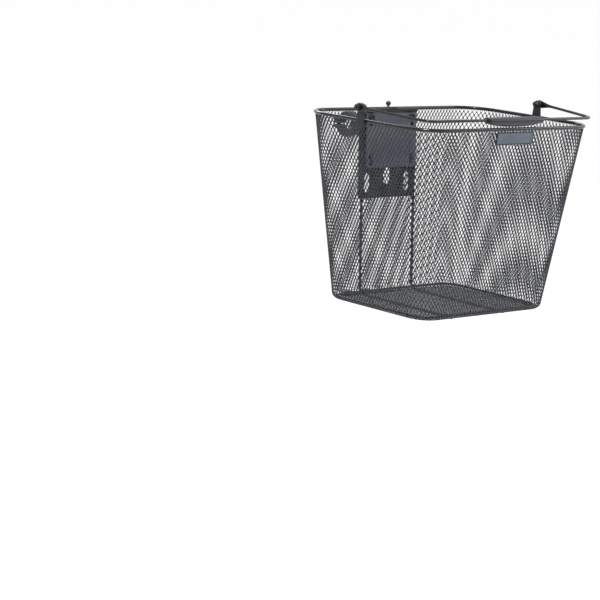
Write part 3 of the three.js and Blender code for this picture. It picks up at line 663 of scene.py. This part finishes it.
def plate_fasteners():
    head_radius, head_height, bolt_radius, key, past_nut = 4.75, 2.8, 2.5, 3.0, 5.4
    head_under = INNER_BACK - INNER_THICK - GAP
    nut_out = PLATE_OUT + OUTER_THICK + GAP
    length = nut_out + past_nut - head_under
    for side, s in (("left", 1), ("right", -1)):
        def at(out):
            return BACK_WALL @ moved(s * BOLT_X, out, BOLT_UP) @ TURN_OUT

        bolt = socket_bolt(at(head_under - head_height), head_radius, head_height, bolt_radius, length, key)
        piece(f"plate_screw_{side}", bolt, "dark_zinc", "basket", [f"plate_bolt_{side}"])
        bush = washer(at(SHEET / 2 + GAP), BORE_5, 4.5, PLATE_OUT - SHEET / 2 - 2 * GAP)
        piece(f"plate_bush_{side}", bush, "dark_zinc", "basket", [f"plate_spacer_{side}"])
        hexnut = nut(at(nut_out), NUT_ACROSS, BORE_5, 4.0)
        piece(f"plate_hexnut_{side}", hexnut, "dark_zinc", "basket", [f"plate_nut_{side}"])


def badge():
    """A blank label plate on the front wall, just under the rim, with two studs through a strip inside."""
    half_w, half_h, top, thick, border = 37.0, 9.0, 264.8, 1.6, 1.8
    strip_half_w, strip_half_h, strip_thick = 33.0, 4.0, 1.2
    stud_x, stud_radius, stud_length = 28.0, 1.5, 4.5
    z = top - half_h
    line = wall_line(z)
    lean = Matrix.Rotation(FRONT_LEAN, 4, "X")
    on_front = TO_FRAME @ moved(0, line["shift"] - line["depth"] / 2, z) @ lean
    clear = SHEET / 2 + GAP
    out = -clear - thick / 2
    label = flat([rounded(-half_w, half_w, -half_h, half_h, 2.2)], thick, 0.5,
                 on_front @ moved(0, out, 0) @ ACROSS, 3)
    face_half_w, face_half_h = half_w - border, half_h - border
    face = flat([rounded(-face_half_w, face_half_w, -face_half_h, face_half_h, 1.2)], 0.5, 0.15,
                on_front @ moved(0, out - 0.75, 0) @ ACROSS)
    profile = [(0, 0), (stud_radius, 0), (stud_radius, stud_length - 0.3), (stud_radius - 0.3, stud_length),
               (0, stud_length)]
    studs = [turned(profile, on_front @ moved(s * stud_x, -clear - 0.4, 0) @ TURN_OUT, 20) for s in (1, -1)]
    piece("label_plate", merged(label, *studs), "grey_label", "basket", ["badge"], look="dark_plate")
    piece("label_face", face, "grey_label", "basket", ["badge"])
    loops = [rounded(-strip_half_w, strip_half_w, -strip_half_h, strip_half_h, 1.5)]
    loops += [circle(s * stud_x, 0, 1.8) for s in (1, -1)]
    strip = flat(loops, strip_thick, 0.3, on_front @ moved(0, clear + strip_thick / 2, 0) @ ACROSS)
    piece("label_strip", strip, "plate_coat", "basket", ["badge_backing"], look="dark_plate")


# ------------------------------------------------------------------ handle
PIVOT = (-1.9, 286.3)
CROSSBAR = (-117.0, 280.3)
CROSSBAR_HALF = 166.0
BAIL_BEND = 16.0
POST_FACE = RIM["width"] / 2 + RIM_WIRE / 2 + GAP
POST_THICK = 3.0
POST_WIDTH = 16.0
POST_BELOW_RIM = 7.0
POST_TOP_RADIUS = 5.6
BUSH_THICK = 1.0
EYE_THICK = 2.6
EYE_FACE = POST_FACE + POST_THICK + GAP + BUSH_THICK + GAP
EYE_MIDDLE = EYE_FACE + EYE_THICK / 2
HANDLE_WIRE = 4.0


def handle_bail():
    """One wire: a flattened round eye, an arm, the bend, the crossbar, and the same back again."""
    towards = Vector((0, CROSSBAR[0] - PIVOT[0], CROSSBAR[1] - PIVOT[1])).normalized()

    def start(s, along=0.0):
        return Vector((s * EYE_MIDDLE, *PIVOT)) + towards * along

    corner = {s: Vector((s * CROSSBAR_HALF, *CROSSBAR)) for s in (1, -1)}
    eye = 6.0
    reach = 24.0
    stations = [-eye + 0.02, -eye + 0.35, -eye + 1.0, -eye + 2.0, -eye + 3.4, -eye / 3, 0, eye / 3]
    stations += [4.5, 8.0, 12.0, 16.0, 20.0, reach]

    def half_height(along):
        if along < 3.0:
            return max(0.6, math.sqrt(max(eye * eye - along * along, 0)))
        t = min(1.0, (along - 3.0) / (reach - 3.0))
        wide = math.sqrt(eye * eye - 9.0)
        return wide + (HANDLE_WIRE / 2 - wide) * (t * t * (3 - 2 * t)) ** 0.75

    def half_thick(along):
        t = min(1.0, max(0.0, (along - 8.0) / (reach - 8.0)))
        return EYE_THICK / 2 + (HANDLE_WIRE - EYE_THICK) / 2 * t * t * (3 - 2 * t)

    def section(thick, height, square):
        out = []
        for k in range(20):
            a = 2 * math.pi * k / 20
            x, y = math.cos(a), math.sin(a)
            x, y = math.copysign(abs(x) ** square, x), math.copysign(abs(y) ** square, y)
            out.append((thick * x, height * y))
        return out

    def end(s):
        path, sections = [], []
        for along in stations:
            path.append(start(s, along))
            blend = min(1.0, max(0.0, (along - 6) / (reach - 6)))
            sections.append(section(half_thick(along), half_height(along), 0.45 + 0.55 * blend))
        return path, sections

    first, first_sections = end(-1)
    last, last_sections = end(1)
    middle = bent([first[-1], corner[-1], corner[1], last[-1]], BAIL_BEND, 12)[1:-1]
    path = first + middle + last[::-1]
    round_wire = section(HANDLE_WIRE / 2, HANDLE_WIRE / 2, 1.0)
    sections = first_sections + [round_wire] * len(middle) + last_sections[::-1]
    bail = swept(path, sections, (1, 0, 0), TO_FRAME)
    piece("bail_wire", bail, "black_wire", "handle", ["handle_bail"], sharp=50)


def grip_half(upper):
    """A smooth half of the grip, full in the middle of its underside and rounded over at its ends."""
    length, width, above, below = 108.0, 21.0, 4.2, 9.2
    stations, across = 36, 20
    round_over = 0.035  # the share of each half's length that is rounded over
    points, faces = [], []
    for i in range(stations + 1):
        t = 2 * i / stations - 1
        t = math.copysign(1 - (1 - abs(t)) ** 1.5, t)
        near = max(0.0, (abs(t) - (1 - round_over)) / round_over)
        end = math.sqrt(max(0.0, 1 - near * near)) * 0.45 + 0.55
        fullness = math.sqrt(1 - 0.78 * t * t)
        height = (above * (1 - 0.12 * t * t) if upper else below * fullness) * end
        half = (width / 2) * (1 - 0.2 * t * t) * (0.25 * end + 0.75)
        for k in range(across + 1):
            a = math.pi * k / across
            lift = math.sin(a) ** 0.8 * (height - GAP / 2) + GAP / 2
            y = CROSSBAR[0] + half * math.cos(a)
            points.append((t * length / 2, y, CROSSBAR[1] + (lift if upper else -lift)))
    ring = across + 1
    for i in range(stations):
        for k in range(ring):
            n = (k + 1) % ring
            faces.append([i * ring + k, i * ring + n, (i + 1) * ring + n, (i + 1) * ring + k])
    faces.append(list(range(ring)))
    faces.append([stations * ring + k for k in range(ring)])
    return place(points, TO_FRAME), faces


def handle_fittings():
    washer_thick, head_height, head_radius, bolt_radius, key, past_nut = 0.8, 3.0, 4.5, 2.5, 3.0, 5.0
    outer = EYE_FACE + EYE_THICK + GAP
    head_outer = outer + washer_thick + GAP + head_height
    nut_outer = POST_FACE - GAP
    low, front, back = RIM_Z - POST_BELOW_RIM, PIVOT[0] - POST_WIDTH / 2, PIVOT[0] + POST_WIDTH / 2
    edge = [(front, low + 5), (front, low + 1), (front + 1, low)]
    edge += [(back - 1, low), (back, low + 1), (back, low + 5)]
    edge += arc(*PIVOT, POST_TOP_RADIUS, 0, 180, 14)
    for side, s in (("left", 1), ("right", -1)):
        post = flat([edge, circle(*PIVOT, BORE_5)], POST_THICK, 0.6,
                    TO_FRAME @ moved(s * (POST_FACE + POST_THICK / 2), 0, 0) @ SIDEWAYS, 3)
        piece(f"post_strip_{side}", post, "plate_coat", "basket", [f"handle_post_{side}"], look="dark_plate")

        def at(x):
            """Local Z points inwards, towards the basket, from a place on the pivot."""
            return TO_FRAME @ moved(s * x, *PIVOT) @ Matrix.Rotation(-s * math.pi / 2, 4, "Y")

        bush = washer(at(POST_FACE + POST_THICK + GAP + BUSH_THICK), BORE_5, 5.4, BUSH_THICK)
        piece(f"pivot_sleeve_{side}", bush, "black_plastic", "basket", [f"pivot_bush_{side}"])
        ring = washer(at(outer + washer_thick), BORE_5, 4.9, washer_thick)
        piece(f"pivot_ring_{side}", ring, "dark_zinc", "basket", [f"pivot_washer_{side}"])
        length = head_outer - head_height - nut_outer + past_nut
        bolt = socket_bolt(at(head_outer), head_radius, head_height, bolt_radius, length, key)
        piece(f"pivot_screw_{side}", bolt, "dark_zinc", "basket", [f"pivot_bolt_{side}"])
        hexnut = nut(at(nut_outer), NUT_ACROSS, BORE_5, 4.2)
        piece(f"pivot_hexnut_{side}", hexnut, "dark_zinc", "basket", [f"pivot_nut_{side}"])


# ------------------------------------------------------------------ holder
BAR_RADIUS = 12.7
BAR_OUT, BAR_UP = in_back_wall(-ORIGIN.y / MM, -ORIGIN.z / MM)
SHIM = 1.8
BORE = BAR_RADIUS + SHIM + GAP
CLAMP_OUTER = BORE + 4
SPLIT = 1.2
CLAMP_BOLT = BORE + 6
CLAMP_HEAD = 3.6
EAR_REACH = CLAMP_BOLT + 4.7
EAR_HEIGHT = 5.0
ARM_WIDTH = 14.0
ARM_X = 22.0
SCREW_UPS = (202, 232)
PIN_OUT = 5.4
PIN_RADIUS = 2.0
PIN_BORE = PIN_RADIUS + GAP


def holder_plate():
    """The plate on the clamp arms, with two up-turned hooks and two guides for the release pin."""
    half, low, top = 34.0, 192.0, 246.0
    loops = [rounded(-half, half, low, top, 6), rounded(-5, 5, 211.5, 237.5, 1)]
    for s in (1, -1):
        loops += [circle(s * ARM_X, up, 4.3) for up in SCREW_UPS]
    parts = [flat(loops, HOLDER_THICK, 0.5, BACK_WALL @ moved(0, HOLDER_OUT + HOLDER_THICK / 2, 0) @ ACROSS)]
    root, face, inner = HOLDER_OUT + 0.5, PLATE_OUT - GAP, 2.6
    neck_low, neck_top, tip = 213.3, 226.7, 238.2
    hook = [(inner + 2, neck_low), (inner, neck_low + 2), (inner, tip - 1.5), (inner + 0.3, tip), (face, tip),
            (face, neck_top), (root, neck_top), (root, neck_low)]
    for s in (1, -1):
        parts.append(flat([hook], 8.0, 0.3, BACK_WALL @ moved(s * HOOK_X, 0, 0) @ SIDEWAYS))
    guide_half, guide_thick = 4.6, 3.0
    guide = rounded(-guide_half, guide_half, PIN_OUT - 3.6, root, 1.0, 3)
    for middle in (209.5, 239.5):
        lift = BACK_WALL @ moved(0, 0, middle)
        parts.append(flat([guide, circle(0, PIN_OUT, PIN_BORE, 20)], guide_thick, 0.3, lift))
    piece("holder_bracket", merged(*parts), "plate_coat", "holder", ["holder_plate"], look="dark_plate")


def clamp_outlines():
    """The side views of a clamp's arm, cap and liner, as (out, up) points."""
    split = math.degrees(math.asin(SPLIT / 2 / BORE))
    face_up, face_down = BAR_UP + SPLIT / 2, BAR_UP - SPLIT / 2
    ear_top = face_up + 2 * EAR_HEIGHT
    over = math.degrees(math.asin((ear_top - BAR_UP) / CLAMP_OUTER))
    seat = CLAMP_BOLT - CLAMP_HEAD - GAP
    turn = math.degrees(math.acos(seat / CLAMP_OUTER))
    near, far = BAR_OUT - EAR_REACH, BAR_OUT + EAR_REACH
    arm = [(ARM_OUT, 196), (ARM_OUT + 7, 196), (near - 1.5, BAR_UP - 9), (near - 1.5, face_up)]
    arm += arc(BAR_OUT, BAR_UP, BORE, 180 - split, split, 24)
    arm += [(far, face_up), (far, ear_top)]
    arm += arc(BAR_OUT, BAR_UP, CLAMP_OUTER, over, 126, 14)
    arm += [(near, BAR_UP + 12), (ARM_OUT, 244)]
    cap_low = face_down - EAR_HEIGHT
    cap = [(near, cap_low), (BAR_OUT - seat, cap_low)]
    cap += arc(BAR_OUT, BAR_UP, CLAMP_OUTER, 180 + turn, 360 - turn, 18)
    cap += [(BAR_OUT + seat, cap_low), (far, cap_low), (far, face_down)]
    cap += arc(BAR_OUT, BAR_UP, BORE, -split, split - 180, 24)
    cap += [(near, face_down)]
    liner = arc(BAR_OUT, BAR_UP, BAR_RADIUS + SHIM, 7, 353, 40) + arc(BAR_OUT, BAR_UP, BAR_RADIUS, 353, 7, 40)
    return arm, cap, liner, cap_low - GAP


def clamps():
    arm, cap, liner, head_top = clamp_outlines()
    head_height, bolt_radius = 2.6, 2.0
    for side, s in (("left", 1), ("right", -1)):
        x = s * ARM_X
        across = BACK_WALL @ moved(x, 0, 0) @ SIDEWAYS
        arm_shape = flat([arm], ARM_WIDTH, 0.9, across, 3)
        piece(f"bar_arm_{side}", arm_shape, "black_plastic", "holder", [f"clamp_arm_{side}"])
        cap_shape = flat([cap], ARM_WIDTH, 0.9, across, 3)
        piece(f"bar_cap_{side}", cap_shape, "black_plastic", "holder", [f"clamp_cap_{side}"])
        liner_shape = flat([liner], ARM_WIDTH + 2, 0.4, across)
        piece(f"bar_liner_{side}", liner_shape, "black_rubber", "holder", [f"clamp_liner_{side}"])
        for number, up in enumerate(SCREW_UPS, 1):
            at = BACK_WALL @ moved(x, HOLDER_OUT + 0.1, up) @ TURN_OUT
            screw = socket_bolt(at, 4.0, 1.8, bolt_radius, 10.4, 2.5)
            name = f"arm_screw_round_{side}_{number}"
            piece(name, screw, "dark_zinc", "holder", [f"arm_screw_{side}_{number}"])
        for where, v in (("front", -1), ("back", 1)):
            at = BACK_WALL @ moved(x, BAR_OUT + v * CLAMP_BOLT, head_top - head_height)
            bolt = socket_bolt(at, CLAMP_HEAD, head_height, bolt_radius, 14.0, 3.0)
            piece(f"clamp_screw_{side}_{where}", bolt, "dark_zinc", "holder", [f"clamp_bolt_{side}_{where}"])


# ------------------------------------------------------------------ release pin
def release():
    """The pin with its collar, knob and crossbar, and the spring between the collar and the upper guide."""
    low, top, collar, collar_thick = 194.0, 267.0, 212.0, 1.2
    at = BACK_WALL @ moved(0, PIN_OUT, 0)
    collar_top = collar + collar_thick
    shaft = [(0, low), (1.4, low), (PIN_RADIUS, low + 0.8), (PIN_RADIUS, collar)]
    shaft += [(3.2, collar), (3.4, collar + 0.2), (3.4, collar + 1.0), (3.2, collar_top)]
    shaft += [(PIN_RADIUS, collar_top), (PIN_RADIUS, top), (0, top)]
    piece("pin_shaft", turned(shaft, at, 24), "dark_zinc", "release", ["release_pin"])
    ball, base = 3.8, top + GAP
    knob = [(0, base), (1.9, base), (2.1, base + 0.3), (2.1, base + 0.7)]
    for angle in range(-52, 90, 8):
        a = math.radians(angle)
        knob.append((ball * math.cos(a), base + 3.9 + ball * 0.86 * math.sin(a)))
    knob.append((0, base + 7.2))
    piece("pin_knob", turned(knob, at, 32), "black_plastic", "release", ["release_knob"], look="dark_zinc")
    bar_thick = 3.0
    bar_outline = rounded(-10, 10, PIN_OUT - 2.9, PIN_OUT + 3.9, 1.2, 4)
    bar = flat([bar_outline, circle(0, PIN_OUT, PIN_BORE, 20)], bar_thick, 0.4,
               BACK_WALL @ moved(0, 0, 257 + GAP + bar_thick / 2))
    piece("pin_crossbar", bar, "dark_zinc", "release", ["release_foot"])

    coil_wire, coil_radius, turns, spring_top, per_turn = 0.9, 2.95, 6, 237.7, 24
    start = collar_top + GAP + coil_wire / 2
    rise = spring_top - coil_wire / 2 - start
    coil = []
    for k in range(turns * per_turn + 1):
        a = 2 * math.pi * k / per_turn
        height = start + rise * k / (turns * per_turn)
        coil.append((coil_radius * math.cos(a), PIN_OUT + coil_radius * math.sin(a), height))
    coil_shape = wire(coil, coil_wire / 2, BACK_WALL, (0, 0, 1), 10)
    spring = piece("pin_spring", coil_shape, "spring_steel", "holder", ["release_spring"], sharp=60)
    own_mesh(spring)


# ------------------------------------------------------------------ stage
def area_light(name, place_at, target, size, power, colour=(1, 1, 1)):
    data = bpy.data.lights.new(name, "AREA")
    data.shape = "RECTANGLE"
    data.size, data.size_y = size
    data.energy = power
    data.color = colour
    light = bpy.data.objects.new(name, data)
    bpy.context.scene.collection.objects.link(light)
    light.location = place_at
    light.rotation_euler = (Vector(target) - Vector(place_at)).to_track_quat("-Z", "Y").to_euler()


def stage():
    ground_mesh = bpy.data.meshes.new("ground")
    reach, depth = 60.0, -0.95  # the ground is about a metre under a bicycle's handlebar
    corners = [(-reach, -reach, depth), (reach, -reach, depth), (reach, reach, depth), (-reach, reach, depth)]
    ground_mesh.from_pydata(corners, [], [[0, 1, 2, 3]])
    ground = bpy.data.objects.new("ground", ground_mesh)
    bpy.context.scene.collection.objects.link(ground)
    pale = bpy.data.materials.new("pale ground")
    pale.use_nodes = True
    shader = pale.node_tree.nodes["Principled BSDF"]
    socket(shader, "Base Color", (0.99, 0.99, 0.99, 1))
    socket(shader, "Roughness", 0.9)
    ground_mesh.materials.append(pale)

    world = bpy.data.worlds.new("studio")
    world.use_nodes = True
    background = world.node_tree.nodes["Background"]
    socket(background, "Color", (1, 1, 1, 1))
    socket(background, "Strength", 1.0)
    bpy.context.scene.world = world
    bpy.context.scene.view_settings.view_transform = "Standard"

    middle = (0, -0.15, -0.08)
    area_light("key", (-1.4, -1.6, 2.0), middle, (0.5, 0.4), 75)
    area_light("fill", (2.2, -1.2, 0.9), middle, (1.4, 1.4), 22)
    area_light("rim", (0.4, 2.0, 1.3), middle, (1.8, 0.8), 30)


def camera():
    """A long lens from in front and to the right of the bicycle, looking a little down, tipped a little."""
    heading, down, tip = math.radians(43.145), math.radians(10.795), math.radians(4.13)
    ahead = Vector((math.sin(heading), math.cos(heading), 0))
    forward = ahead * math.cos(down) - Vector((0, 0, math.sin(down)))
    level = Vector((math.cos(heading), -math.sin(heading), 0))
    upright = level.cross(forward)
    right = level * math.cos(tip) + upright * math.sin(tip)
    up = right.cross(forward)
    data = bpy.data.cameras.new("camera")
    data.sensor_width = 36
    data.lens = 122.66
    data.clip_end = 60
    cam = bpy.data.objects.new("camera", data)
    bpy.context.scene.collection.objects.link(cam)
    turn = Matrix((right, up, -forward)).transposed().to_4x4()
    standpoint = Vector((-2103.6, -1961.9, 540.8))
    cam.matrix_world = Matrix.Translation(TO_FRAME @ standpoint) @ turn
    bpy.context.scene.camera = cam


camera()
stage()
make_walls()
make_floor()
make_wires()
inner_plate()
outer_plate()
plate_fasteners()
badge()
handle_bail()
piece("grip_top", grip_half(True), "black_plastic", "handle", ["grip_upper"], sharp=40)
piece("grip_bottom", grip_half(False), "black_plastic", "handle", ["grip_lower"], sharp=40)
handle_fittings()
holder_plate()
clamps()
release()
